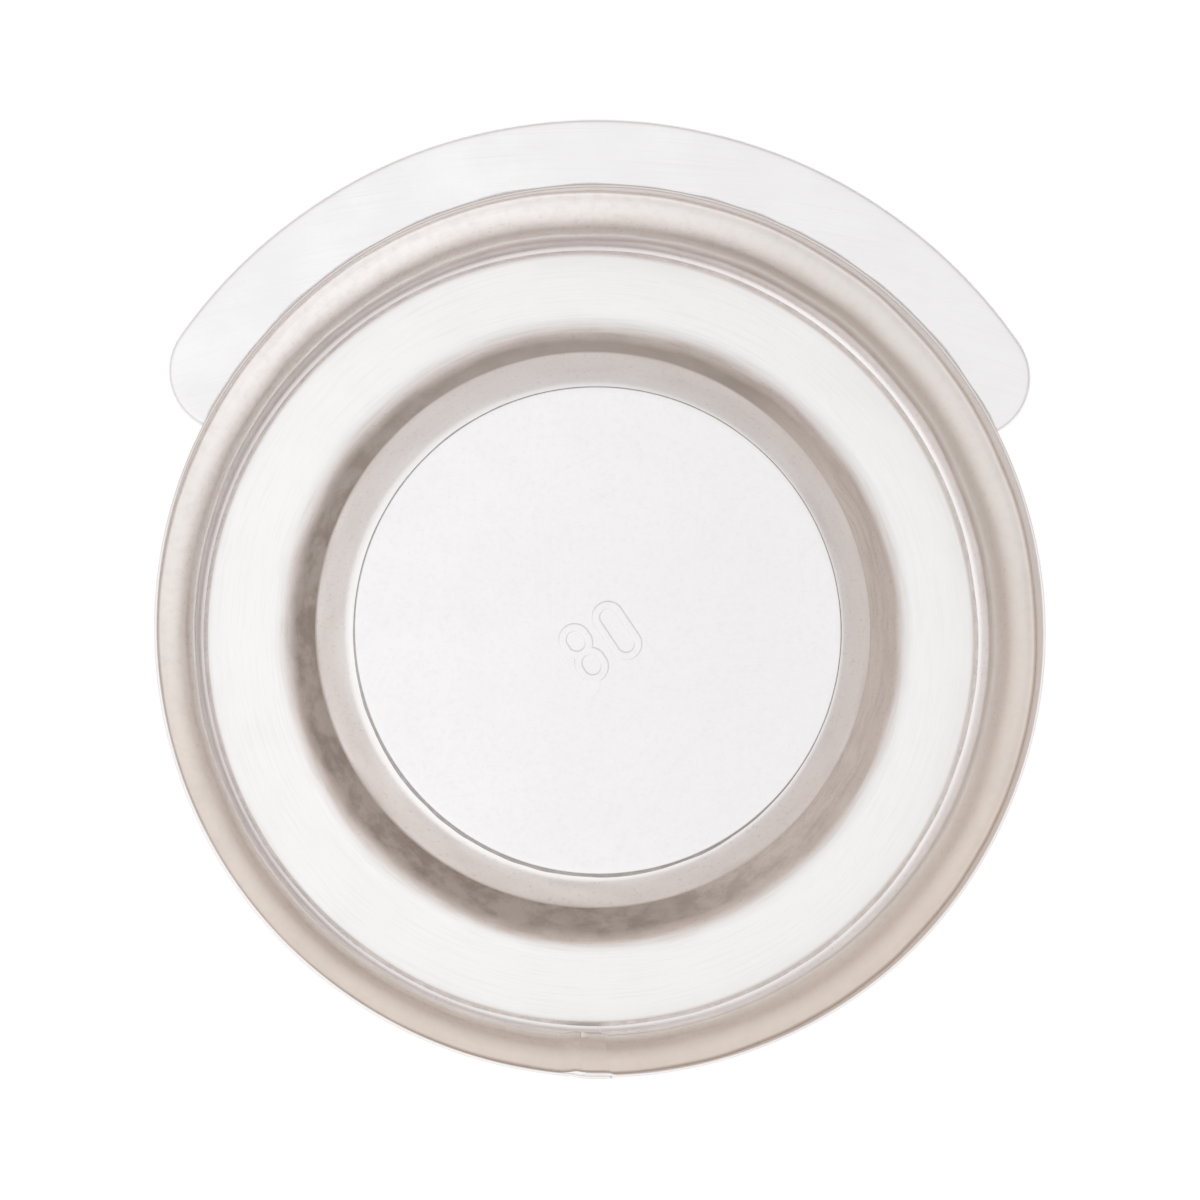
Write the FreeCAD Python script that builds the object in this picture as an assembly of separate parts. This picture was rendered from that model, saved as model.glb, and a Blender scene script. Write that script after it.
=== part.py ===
import FreeCAD, Part

# Pill counting tray: a round soldered tinplate dish with a raised round counting plate in the middle, a pill
# trough all the way round it, and a flat crescent ledge at the rim to hold it by.
#
# Millimetres. +Z is up, and Z = 0 is the plane that the foot rests on. The Z axis runs through the centre of
# the dish, +Y points at the middle of the ledge, and the lapped seam of the wall is on the -Y side.
# Each piece is written to parts/NAME.step.

import math
import os

# ---------------------------------------------------------------- driving dimensions
SHEET = 0.5                  # thickness of the tinplate
FILM = 0.05                  # solder film left between two soldered sheets

RIM_RADIUS = 75.0            # outside of the rim
TRAY_HEIGHT = 20.5           # foot to the rim's edge
STEP_Z = 13.4                # height of the step inside the rim
STEP_FALL = 0.1              # how much the step falls from the rim to the wall
WALL_FOOT_RADIUS = 67.7      # inner face of the wall, produced down to the floor
WALL_TOP_RADIUS = 67.9       # inner face of the wall, produced up to the step
FOOT_INNER_RADIUS = 63.0     # inner edge of the foot flange
WALL_FOOT_BEND = 1.0         # inside bend at the foot of the wall
WALL_SHOULDER_BEND = 5.5     # broad rounded shoulder from the wall to the step
RIM_CORNER_BEND = 0.8        # inside bend from the step to the rim

FLOOR_RADIUS = 65.6          # outer edge of the trough pan
RISER_FOOT_RADIUS = 51.9     # outer face of the sloping riser, produced down to the floor
RISER_TOP_RADIUS = 45.2      # outer face of the riser at its top
RISER_TOP_Z = 11.6
RISER_BEND = 3.0             # round between the riser and the floor

SHOULDER_RADIUS = 47.05      # outside of the shoulder's turned-down edge
SHOULDER_OFFSET = (-0.68, 0.53)  # the shoulder is soldered a little off centre on the riser
SHOULDER_EDGE_Z = 12.2       # where the shoulder's slope meets that edge
SHOULDER_SKIRT_Z = 11.2      # lower end of the turned-down edge
SHOULDER_EDGE_BEND = 0.8
SHOULDER_BEAD = 1.3          # how far down the riser the solder under the shoulder runs
CROWN_RADIUS = 41.5          # where the shoulder's slope would meet its flat crown
CROWN_OFFSET = (-0.86, -0.18)  # the crown is not quite true to the shoulder's edge
CROWN_BEND = 3.0
CROWN_BORE = 38.0            # the hole in the crown, covered by the counting plate

PLATE_RADIUS = 41.0          # counting plate
PLATE_TOP_Z = 16.6
PLATE_OFFSET = (-0.32, 0.07)  # the plate is soldered a little off centre on the crown
PLATE_BEAD = 0.6             # reach of the solder round the plate's edge at its foot
PLATE_BEAD_TOP = 0.1         # and at its top
PLATE_BEAD_Z = 15.3          # foot of that solder where the crown falls away
PLATE_BEAD_DROP = 0.25       # how far below the plate's face the solder stops

STAMP_DEPTH = 0.15           # how far the size number is struck up through the plate
STAMP_HEIGHT = 11.0          # height of a digit
STAMP_WIDTH = 5.6            # width of a digit
STAMP_SPACING = 1.2          # gap between the two digits
STAMP_STROKE = 1.5           # width of a digit's stroke
STAMP_TURN = 34.0            # how far the number is turned from upright, in degrees
STAMP_CENTRE = (0.3, -2.0)   # from the middle of the plate

LEDGE_RADIUS = 86.2          # outer edge of the crescent ledge
LEDGE_END_RADIUS = 10.4      # its rounded ends
LEDGE_HALF_ANGLE = 55.4      # from the middle of the ledge to the centre of each rounded end
LEDGE_TOP_Z = 19.8
LEDGE_LIP = 1.7              # depth of the turned-down edge, top face included
LEDGE_LIP_BEND = 0.9
LEDGE_TOP_BEAD = 0.45        # solder bead above the ledge
LEDGE_TOP_BEAD_INSET = 1.0   # how far that bead stops short of the ledge's ends
LEDGE_UNDER_BEAD = 1.2       # solder fillet under the ledge
LEDGE_UNDER_HOLLOW = 0.36    # thickness left in the middle of that hollow fillet
LEDGE_UNDER_BEAD_INSET = 2.0

LAP_WIDTH = 4.8              # how far one end of the wall laps inside the other
JOGGLE_WIDTH = 1.0           # the stepped part of that lap
LAP_GAP = 0.1                # solder-filled gap where the outer end stops
LAP_FOOT_Z = 2.7             # lower end of the inner lap
SEAM_BEAD = 0.5              # width of the solder bead along the lap's inner edge
SEAM_BEAD_HEIGHT = 0.35      # how far that bead stands off the wall
SEAM_LUMP = 0.3              # how proud the solder stands outside
SEAM_LUMP_WIDTH = 1.5
SEAM_CENTRE_X = -0.9         # middle of the lap, seen from above

FRONT = -90.0                # direction of the wall's seam, in degrees from +X
BACK = 90.0                  # direction of the ledge
Z_AXIS = FreeCAD.Vector(0, 0, 1)
ORIGIN = FreeCAD.Vector(0, 0, 0)
CLOSE = 0.02                 # two measurements nearer than this are the same edge


# ---------------------------------------------------------------- section tools
def point(rz):
    """A point of a section, given as (radius, height), in the XZ plane."""
    return FreeCAD.Vector(rz[0], 0, rz[1])


def offset_path(path, bends, offset):
    """Edges of a bent sheet's face at a distance to the right of its path.

    path is a list of (radius, height) corners, and bends gives the bend radius at each inner corner, measured
    on the path itself. A corner with no bend is sharp.
    """
    corners = [FreeCAD.Vector(r, z, 0) for r, z in path]
    steps = [(b - a).normalize() for a, b in zip(corners, corners[1:])]
    rights = [FreeCAD.Vector(d.y, -d.x, 0) for d in steps]
    edges = []
    start = corners[0] + rights[0] * offset
    for corner, before, after, right_a, right_b, bend in zip(
        corners[1:-1], steps, steps[1:], rights, rights[1:], bends
    ):
        turn = math.atan2(before.x * after.y - before.y * after.x, before.dot(after))
        side = -1 if turn > 0 else 1
        reach = bend * math.tan(abs(turn) / 2)
        centre = corner - before * reach + right_a * (side * bend)
        radius = bend - side * offset
        begin = centre - right_a * (side * radius)
        end = centre - right_b * (side * radius)
        middle = centre + (corner - centre).normalize() * radius
        edges.append(("line", start, begin))
        edges.append(("arc", begin, middle, end))
        start = end
    edges.append(("line", start, corners[-1] + rights[-1] * offset))
    return edges


def make_edge(kind, *points):
    """A straight or round edge in the XZ plane from section points."""
    placed = [FreeCAD.Vector(p.x, 0, p.y) for p in points]
    if kind == "line":
        return Part.makeLine(*placed)
    return Part.Arc(*placed).toShape()


def sheet_face(path, bends, near=0.0, far=SHEET):
    """Cross-section of a bent sheet between two distances to the right of its path."""
    near_edges = offset_path(path, bends, near)
    far_edges = offset_path(path, bends, far)
    edges = [make_edge(*e) for e in near_edges]
    edges.append(make_edge("line", near_edges[-1][-1], far_edges[-1][-1]))
    edges += [make_edge(*e) for e in reversed(far_edges)]
    edges.append(make_edge("line", far_edges[0][1], near_edges[0][1]))
    return Part.Face(Part.Wire(Part.__sortEdges__(edges)))


def polygon_face(corners):
    """A straight-sided section face."""
    return Part.Face(Part.makePolygon([point(c) for c in corners + corners[:1]]))


def spin(face, start=0.0, sweep=360.0):
    """Revolves a section face about Z, from a direction in degrees, through an angle."""
    solid = face.revolve(ORIGIN, Z_AXIS, sweep)
    solid.rotate(ORIGIN, Z_AXIS, start)
    return solid


def arc_degrees(length, radius=RIM_RADIUS):
    """The angle that a length along a circle takes up."""
    return math.degrees(length / radius)


# ---------------------------------------------------------------- wall and its seam
WALL_PATH = [
    (FOOT_INNER_RADIUS, SHEET),
    (WALL_FOOT_RADIUS, SHEET),
    (WALL_TOP_RADIUS, STEP_Z - STEP_FALL),
    (RIM_RADIUS - SHEET, STEP_Z),
    (RIM_RADIUS - SHEET, TRAY_HEIGHT),
]
WALL_BENDS = [WALL_FOOT_BEND, WALL_SHOULDER_BEND, RIM_CORNER_BEND]

LAP_END = FRONT + arc_degrees(SEAM_CENTRE_X - LAP_WIDTH / 2)
JOGGLE_START = FRONT + arc_degrees(SEAM_CENTRE_X + LAP_WIDTH / 2)
JOGGLE_END = JOGGLE_START + arc_degrees(JOGGLE_WIDTH)
OUTER_END = JOGGLE_START - arc_degrees(LAP_GAP)


def above_the_foot(solid):
    """Keeps the part of a lap that stands clear of the trough's floor."""
    box = Part.makeBox(4 * RIM_RADIUS, 4 * RIM_RADIUS, TRAY_HEIGHT)
    box.translate(FreeCAD.Vector(-2 * RIM_RADIUS, -2 * RIM_RADIUS, LAP_FOOT_Z))
    return solid.common(box)


def outer_wall():
    """The wall: one strip bent into a ring, stepped out near the top, its end lapped inside its start."""
    strip_sweep = 360.0 - (JOGGLE_END - OUTER_END)
    strip = spin(sheet_face(WALL_PATH, WALL_BENDS), JOGGLE_END, strip_sweep)
    joggle = spin(
        sheet_face(WALL_PATH, WALL_BENDS, -SHEET - FILM, SHEET), JOGGLE_START, JOGGLE_END - JOGGLE_START
    )
    lap = spin(sheet_face(WALL_PATH, WALL_BENDS, -SHEET - FILM, -FILM), LAP_END, JOGGLE_START - LAP_END)
    foot_of_joggle = spin(sheet_face(WALL_PATH, WALL_BENDS), JOGGLE_START, JOGGLE_END - JOGGLE_START)
    inner_end = above_the_foot(joggle.fuse(lap))
    return strip.fuse([foot_of_joggle, inner_end]).removeSplitter()


def wall_seam_solder():
    """Solder of the lap: the film between the ends, the bead inside, and the filled gap outside."""
    film = above_the_foot(spin(sheet_face(WALL_PATH, WALL_BENDS, -FILM, 0), LAP_END, JOGGLE_START - LAP_END))
    bead_sweep = arc_degrees(SEAM_BEAD)
    bead = above_the_foot(
        spin(sheet_face(WALL_PATH, WALL_BENDS, -SEAM_BEAD_HEIGHT, 0), LAP_END - bead_sweep, bead_sweep)
    )
    gap = spin(sheet_face(WALL_PATH, WALL_BENDS), OUTER_END, JOGGLE_START - OUTER_END)
    lump_sweep = arc_degrees(SEAM_LUMP_WIDTH)
    lump = above_the_foot(
        spin(
            sheet_face(WALL_PATH, WALL_BENDS, SHEET, SHEET + SEAM_LUMP),
            JOGGLE_START - lump_sweep / 2,
            lump_sweep,
        )
    )
    return film.fuse([bead, gap, lump]).removeSplitter()


# ---------------------------------------------------------------- trough
FLOOR_Z = 2 * SHEET + FILM   # upper face of the pan, which lies on the foot flange


def trough_pan():
    """The spun pan: the flat floor of the trough, rounded up into the sloping riser round the middle."""
    path = [(RISER_TOP_RADIUS, RISER_TOP_Z), (RISER_FOOT_RADIUS, FLOOR_Z), (FLOOR_RADIUS, FLOOR_Z)]
    return spin(sheet_face(path, [RISER_BEND]))


def floor_seam_solder(wall, pan):
    """Solder between the foot flange and the pan, with a small bead round the pan's edge."""
    bead = SHEET
    section = polygon_face([
        (FOOT_INNER_RADIUS, SHEET),
        (FLOOR_RADIUS + bead, SHEET),
        (FLOOR_RADIUS + bead, SHEET + FILM),
        (FLOOR_RADIUS + FILM, 2 * SHEET),
        (FLOOR_RADIUS - FILM, 2 * SHEET),
        (FLOOR_RADIUS - FILM, SHEET + FILM),
        (FOOT_INNER_RADIUS, SHEET + FILM),
    ])
    return spin(section).cut(wall).cut(pan)


# ---------------------------------------------------------------- middle
def level_point(offset, z):
    """A point at a height, beside the dish's axis by an (x, y) offset."""
    return FreeCAD.Vector(offset[0], offset[1], z)


def disc_between(offset, radius, low, high):
    """An upright cylinder from one height to another."""
    return Part.makeCylinder(radius, high - low, level_point(offset, low))


def round_off(solid, radius, z, bend):
    """Rounds the level circular edge of a given radius and height."""
    edges = []
    for edge in solid.Edges:
        curve = edge.Curve
        if isinstance(curve, Part.Circle) and abs(curve.Radius - radius) + abs(curve.Center.z - z) < CLOSE:
            edges.append(edge)
    return solid.makeFillet(bend, edges)


CROWN_Z = PLATE_TOP_Z - SHEET - FILM
SHOULDER_SLOPE = math.atan2(CROWN_Z - SHOULDER_EDGE_Z, SHOULDER_RADIUS - CROWN_RADIUS)


def shoulder_form(inset):
    """The solid inside the shoulder's upper side, or its under side when inset is the sheet's thickness.

    It is a skew cone with a flat crown, standing on a cylinder, with both edges rounded.
    """
    edge_radius = SHOULDER_RADIUS - inset
    edge_z = SHOULDER_EDGE_Z + inset * math.tan(SHOULDER_SLOPE) - inset / math.cos(SHOULDER_SLOPE)
    crown_radius = CROWN_RADIUS - inset * math.tan(SHOULDER_SLOPE / 2)
    crown_z = CROWN_Z - inset
    rings = [
        Part.Wire(Part.makeCircle(edge_radius, level_point(SHOULDER_OFFSET, edge_z))),
        Part.Wire(Part.makeCircle(crown_radius, level_point(CROWN_OFFSET, crown_z))),
    ]
    form = Part.makeLoft(rings, True, True)
    skirt = disc_between(SHOULDER_OFFSET, edge_radius, SHOULDER_SKIRT_Z - inset, edge_z)
    form = form.fuse(skirt).removeSplitter()
    form = round_off(form, edge_radius, edge_z, SHOULDER_EDGE_BEND - inset)
    return round_off(form, crown_radius, crown_z, CROWN_BEND - inset)


def centre_shoulder():
    """The sloping ring that carries the counting plate on its flat crown, with a turned-down edge outside."""
    bore = disc_between(CROWN_OFFSET, CROWN_BORE, 0, TRAY_HEIGHT)
    return shoulder_form(0).cut(shoulder_form(SHEET)).cut(bore)


def shoulder_solder(shoulder):
    """The solder under the shoulder's edge: it fills the gap to the riser and runs a little way down it."""
    low = SHOULDER_SKIRT_Z - SHOULDER_BEAD
    riser_run = (RISER_FOOT_RADIUS - RISER_TOP_RADIUS) / (RISER_TOP_Z - FLOOR_Z)
    bead = Part.makeCone(
        RISER_TOP_RADIUS + riser_run * (RISER_TOP_Z - low) - SHEET,
        SHOULDER_RADIUS - SHEET / 2,
        SHOULDER_BEAD,
        level_point(SHOULDER_OFFSET, low),
    )
    filling = disc_between(SHOULDER_OFFSET, SHOULDER_RADIUS - SHEET, SHOULDER_SKIRT_Z, RISER_TOP_Z)
    riser = Part.makeCone(
        RISER_FOOT_RADIUS, RISER_TOP_RADIUS, RISER_TOP_Z - FLOOR_Z, level_point((0, 0), FLOOR_Z)
    )
    return bead.fuse(filling).cut(riser).cut(shoulder)


def capsule(start, end, width, height):
    """A round-ended bar from one point to another, lying on Z = 0."""
    a, b = FreeCAD.Vector(*start, 0), FreeCAD.Vector(*end, 0)
    along = b - a
    bar = Part.makeBox(along.Length, width, height)
    bar.translate(FreeCAD.Vector(0, -width / 2, 0))
    bar.rotate(ORIGIN, Z_AXIS, math.degrees(math.atan2(along.y, along.x)))
    bar.translate(a)
    caps = [Part.makeCylinder(width / 2, height, p) for p in (a, b)]
    return bar.fuse(caps)


def digit_ring(centre, half_width, half_height, stroke, height):
    """An upright oval ring, the stroke of a nought."""
    outer = capsule(
        (centre[0], centre[1] - half_height + half_width),
        (centre[0], centre[1] + half_height - half_width),
        2 * half_width,
        height,
    )
    inner = capsule(
        (centre[0], centre[1] - half_height + half_width),
        (centre[0], centre[1] + half_height - half_width),
        2 * (half_width - stroke),
        height,
    )
    return outer.cut(inner)


def size_number(height):
    """The generic size number 80, which reads the same in reverse, upright on Z = 0 and centred."""
    half_height = STAMP_HEIGHT / 2
    lobe = (half_height + STAMP_STROKE / 2) / 2
    middle = (STAMP_WIDTH + STAMP_SPACING) / 2
    lobes = [
        digit_ring((-middle, side * (half_height - lobe)), STAMP_WIDTH / 2, lobe, STAMP_STROKE, height)
        for side in (-1, 1)
    ]
    nought = digit_ring((middle, 0), STAMP_WIDTH / 2, half_height, STAMP_STROKE, height)
    return lobes[0].fuse(lobes[1]).removeSplitter(), nought


def counting_plate():
    """The flat round counting plate, with the size number struck up from below."""
    plate = disc_between((0, 0), PLATE_RADIUS, PLATE_TOP_Z - SHEET, PLATE_TOP_Z)
    for digit in size_number(STAMP_DEPTH):
        digit.rotate(ORIGIN, Z_AXIS, STAMP_TURN)
        digit.translate(level_point(STAMP_CENTRE, PLATE_TOP_Z))
        plate = plate.fuse(digit)
        digit.translate(FreeCAD.Vector(0, 0, -SHEET))
        plate = plate.cut(digit)
    plate.translate(level_point(PLATE_OFFSET, 0))
    return plate


def plate_solder():
    """The solder between the plate and the crown, with a bead round the plate's edge."""
    bead_top_z = PLATE_TOP_Z - PLATE_BEAD_DROP
    cone = Part.makeCone(
        PLATE_RADIUS + PLATE_BEAD,
        PLATE_RADIUS + PLATE_BEAD_TOP,
        bead_top_z - PLATE_BEAD_Z,
        level_point(PLATE_OFFSET, PLATE_BEAD_Z),
    )
    plate = disc_between(PLATE_OFFSET, PLATE_RADIUS, PLATE_TOP_Z - SHEET, PLATE_TOP_Z)
    bore = disc_between(CROWN_OFFSET, CROWN_BORE, 0, TRAY_HEIGHT)
    return cone.cut(plate).cut(shoulder_form(0)).cut(bore)


# ---------------------------------------------------------------- ledge
def crescent(grow, height, base_z, inner_radius):
    """A solid crescent with rounded ends, grown outwards by an amount, round the outside of a cylinder."""
    base = FreeCAD.Vector(0, 0, base_z)
    band = Part.makeCylinder(LEDGE_RADIUS + grow, height, base, Z_AXIS, 2 * LEDGE_HALF_ANGLE)
    band.rotate(ORIGIN, Z_AXIS, BACK - LEDGE_HALF_ANGLE)
    end_distance = LEDGE_RADIUS - LEDGE_END_RADIUS
    ends = []
    for side in (-1, 1):
        direction = math.radians(BACK + side * LEDGE_HALF_ANGLE)
        offset = (end_distance * math.cos(direction), end_distance * math.sin(direction))
        ends.append(Part.makeCylinder(LEDGE_END_RADIUS + grow, height, level_point(offset, base_z)))
    core = Part.makeCylinder(inner_radius, height, base)
    return band.fuse(ends).cut(core).removeSplitter()


def round_top_edges(solid, top_z, radius, inner_radius):
    """Rounds a crescent's top edge, apart from the part that lies against the cylinder."""
    edges = []
    for edge in solid.Edges:
        flat = abs(edge.BoundBox.ZMin - top_z) < CLOSE and abs(edge.BoundBox.ZMax - top_z) < CLOSE
        middle = edge.valueAt((edge.FirstParameter + edge.LastParameter) / 2)
        if flat and math.hypot(middle.x, middle.y) > inner_radius + CLOSE:
            edges.append(edge)
    return solid.makeFillet(radius, edges)


def ledge_plate():
    """The flat crescent ledge, with its free edge turned down all round."""
    inner = RIM_RADIUS + FILM
    shell = crescent(0, LEDGE_LIP, LEDGE_TOP_Z - LEDGE_LIP, inner)
    shell = round_top_edges(shell, LEDGE_TOP_Z, LEDGE_LIP_BEND, inner)
    hollow_inner = inner - 2 * SHEET
    hollow = crescent(-SHEET, LEDGE_LIP, LEDGE_TOP_Z - SHEET - LEDGE_LIP, hollow_inner)
    hollow = round_top_edges(hollow, LEDGE_TOP_Z - SHEET, LEDGE_LIP_BEND - SHEET, hollow_inner)
    return shell.cut(hollow)


def ledge_end_angle(distance):
    """Half the angle that the ledge spans, in degrees, at a distance from the axis."""
    end_distance = LEDGE_RADIUS - LEDGE_END_RADIUS
    cosine = (end_distance**2 + distance**2 - LEDGE_END_RADIUS**2) / (2 * end_distance * distance)
    return LEDGE_HALF_ANGLE + math.degrees(math.acos(cosine))


def ledge_top_solder():
    """The bead in the corner above the ledge."""
    half = ledge_end_angle(RIM_RADIUS) - arc_degrees(LEDGE_TOP_BEAD_INSET)
    section = polygon_face([
        (RIM_RADIUS, LEDGE_TOP_Z),
        (RIM_RADIUS + LEDGE_TOP_BEAD, LEDGE_TOP_Z),
        (RIM_RADIUS, LEDGE_TOP_Z + LEDGE_TOP_BEAD),
    ])
    return spin(section, BACK - half, 2 * half)


def ledge_under_solder():
    """The hollow fillet of solder under the ledge, with the film between the ledge and the wall."""
    top = LEDGE_TOP_Z - SHEET
    half = ledge_end_angle(RIM_RADIUS) - arc_degrees(LEDGE_UNDER_BEAD_INSET)
    section = polygon_face([
        (RIM_RADIUS, top - LEDGE_UNDER_BEAD),
        (RIM_RADIUS + LEDGE_UNDER_HOLLOW, top - LEDGE_UNDER_HOLLOW),
        (RIM_RADIUS + LEDGE_UNDER_BEAD, top),
        (RIM_RADIUS + FILM, top),
        (RIM_RADIUS + FILM, LEDGE_TOP_Z),
        (RIM_RADIUS, LEDGE_TOP_Z),
    ])
    return spin(section, BACK - half, 2 * half)


# ---------------------------------------------------------------- build
def build():
    """Every piece by name."""
    wall = outer_wall()
    pan = trough_pan()
    shoulder = centre_shoulder()
    return {
        "outer_wall": wall,
        "wall_seam_solder": wall_seam_solder(),
        "trough_pan": pan,
        "floor_seam_solder": floor_seam_solder(wall, pan),
        "centre_shoulder": shoulder,
        "shoulder_solder": shoulder_solder(shoulder),
        "counting_plate": counting_plate(),
        "plate_solder": plate_solder(),
        "ledge_plate": ledge_plate(),
        "ledge_top_solder": ledge_top_solder(),
        "ledge_under_solder": ledge_under_solder(),
    }


os.makedirs("parts", exist_ok=True)
for name, shape in build().items():
    shape.exportStep(f"parts/{name}.step")
    solids = len(shape.Solids)
    print(f"{name:20s} solids {solids}  valid {shape.isValid()}  volume {shape.Volume:9.2f} mm3")
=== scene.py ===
# Looks of the pill counting tray. Each sheet-metal piece is rebuilt as a fine mesh with the slight
# unevenness of hand work, each run of solder as a lumpy bead, and each one stands for its CAD node.
# Sizes below are in millimetres and directions in radians from +X, unless a comment says otherwise, and
# meshes are scaled to metres as they are made.

import math

import bpy
import numpy as np
from mathutils import Matrix, Vector


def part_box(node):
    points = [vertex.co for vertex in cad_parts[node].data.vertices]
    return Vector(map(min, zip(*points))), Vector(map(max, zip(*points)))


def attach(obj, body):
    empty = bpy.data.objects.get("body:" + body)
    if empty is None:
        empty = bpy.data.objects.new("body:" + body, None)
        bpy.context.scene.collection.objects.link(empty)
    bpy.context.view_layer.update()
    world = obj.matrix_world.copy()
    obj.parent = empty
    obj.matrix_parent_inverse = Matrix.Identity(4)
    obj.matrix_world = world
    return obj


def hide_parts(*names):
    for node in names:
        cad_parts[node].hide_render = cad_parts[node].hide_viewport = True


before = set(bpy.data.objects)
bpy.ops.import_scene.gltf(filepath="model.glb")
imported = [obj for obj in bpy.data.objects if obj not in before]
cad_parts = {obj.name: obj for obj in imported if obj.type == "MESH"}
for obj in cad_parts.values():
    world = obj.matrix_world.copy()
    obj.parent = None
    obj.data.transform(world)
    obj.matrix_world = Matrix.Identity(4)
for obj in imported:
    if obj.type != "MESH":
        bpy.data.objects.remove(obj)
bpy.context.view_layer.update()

MM = 0.001


def node_box(name):
    """Lowest and highest corner of a CAD node, in millimetres."""
    low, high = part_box(name)
    return np.array(low) / MM, np.array(high) / MM


WALL_BOX = node_box("outer_wall")
PAN_BOX = node_box("trough_pan")
SHOULDER_BOX = node_box("centre_shoulder")
PLATE_BOX = node_box("counting_plate")
LEDGE_BOX = node_box("ledge_plate")

SHEET = 0.5                  # thickness of every sheet
FILM = 0.05                  # thickness of the solder between two lapped sheets
CUT_EDGE = 0.16              # how far a sheet's cut edge is rounded back

RIM_RADIUS = WALL_BOX[1][0]
RIM_Z = WALL_BOX[1][2]
RIM_HEIGHT = 7.1             # from the step up to the rim
STEP_Z = RIM_Z - RIM_HEIGHT
STEP_FALL = 0.1              # how far the step falls towards the middle
FOOT_INNER_RADIUS = 63.0
WALL_FOOT_RADIUS = 67.7
WALL_TOP_RADIUS = 67.9

FLOOR_RADIUS = PAN_BOX[1][0]
FLOOR_Z = 2 * SHEET + FILM
RISER_FOOT_RADIUS = 51.9
RISER_TOP_RADIUS = 45.2
RISER_TOP_Z = PAN_BOX[1][2]
RISER_BEND = 6.0
RISER_RUN = (RISER_FOOT_RADIUS - RISER_TOP_RADIUS) / (RISER_TOP_Z - FLOOR_Z)   # outward for each unit down

SHOULDER_CENTRE = (SHOULDER_BOX[0] + SHOULDER_BOX[1])[:2] / 2
SHOULDER_RADIUS = (SHOULDER_BOX[1] - SHOULDER_BOX[0])[0] / 2
SHOULDER_FOOT_Z = SHOULDER_BOX[0][2]
SHOULDER_LIP = 1.0           # height of its turned-down edge
SHOULDER_EDGE_Z = SHOULDER_FOOT_Z + SHOULDER_LIP
SHOULDER_EDGE_BEND = 0.8
CROWN_CENTRE = np.array([-0.86, -0.18])
CROWN_RADIUS = 41.5
CROWN_Z = SHOULDER_BOX[1][2]
CROWN_BEND = 3.0
CROWN_BORE = 38.0            # radius of the hole under the plate
SHOULDER_SLOPE = math.atan2(CROWN_Z - SHOULDER_EDGE_Z, SHOULDER_RADIUS - CROWN_RADIUS)

PLATE_CENTRE = (PLATE_BOX[0] + PLATE_BOX[1])[:2] / 2
PLATE_RADIUS = (PLATE_BOX[1] - PLATE_BOX[0])[0] / 2
PLATE_FLAT_RADIUS = PLATE_RADIUS - CUT_EDGE
STAMP_DEPTH = 0.15
PLATE_Z = PLATE_BOX[1][2] - STAMP_DEPTH

LEDGE_RADIUS = LEDGE_BOX[1][1]
LEDGE_Z = LEDGE_BOX[1][2]
LEDGE_FOOT_Z = LEDGE_BOX[0][2]
LEDGE_BEND = 0.9
LEDGE_END_RADIUS = 10.4      # of its rounded ends, whose centres lie at
LEDGE_END_DISTANCE = LEDGE_RADIUS - LEDGE_END_RADIUS   # this distance from the axis, and at
LEDGE_HALF_ANGLE = math.radians(55.4)   # this angle from the back
LEDGE_STEPS = 130            # columns of faces along half of its outer curve, and
LEDGE_END_STEPS = 46         # round one end

FULL_TURN = 2 * math.pi
FRONT = -math.pi / 2
BACK = math.pi / 2
SEAM_X = -0.9                # middle of the wall's lap
LAP_WIDTH = 4.8
JOGGLE_WIDTH = 1.0
LAP_GAP = 0.1                # between the strip's outer end and the joggle
LAP_FOOT_Z = 2.7             # where the lap's inner layer starts
STEPS_ROUND = 540            # segments in a full circle
RUN_STEP = 0.8               # spacing of points along a straight stretch of a section
ARC_STEP = 0.35              # and along a bend


# ---------------------------------------------------------------- mesh tools
def make_piece(name, points, faces, replaces, material, sharp=50):
    """A smooth-shaded mesh piece from points in millimetres, standing for one CAD node."""
    mesh = bpy.data.meshes.new(name)
    mesh.from_pydata((np.asarray(points) * MM).tolist(), [], faces)
    mesh.validate()
    mesh.polygons.foreach_set("use_smooth", [True] * len(mesh.polygons))
    mesh.set_sharp_from_angle(angle=math.radians(sharp))
    piece = bpy.data.objects.new(name, mesh)
    bpy.context.scene.collection.objects.link(piece)
    piece.data.materials.append(material)
    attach(piece, "root")
    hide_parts(replaces)
    return piece


def wander(points, wavelength, seed, waves=10):
    """A smooth, seeded, wandering value of -1 to 1 at each point."""
    rng = np.random.default_rng(seed)
    directions = rng.normal(size=(waves, 3))
    directions /= np.linalg.norm(directions, axis=1)[:, None]
    numbers = FULL_TURN / wavelength * rng.uniform(0.6, 1.5, waves)
    phases = rng.uniform(0, FULL_TURN, waves)
    total = np.sin(points @ (directions * numbers[:, None]).T + phases).sum(axis=1)
    return np.clip(total / math.sqrt(waves) / 1.4, -1, 1)


def ease(low, high, values):
    """0 below low, 1 above high, and a smooth rise between."""
    t = np.clip((values - low) / (high - low), 0, 1)
    return t * t * (3 - 2 * t)


def turned(vector, angle):
    """A flat vector turned anticlockwise."""
    cos, sin = math.cos(angle), math.sin(angle)
    return np.array([vector[0] * cos - vector[1] * sin, vector[0] * sin + vector[1] * cos])


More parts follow.
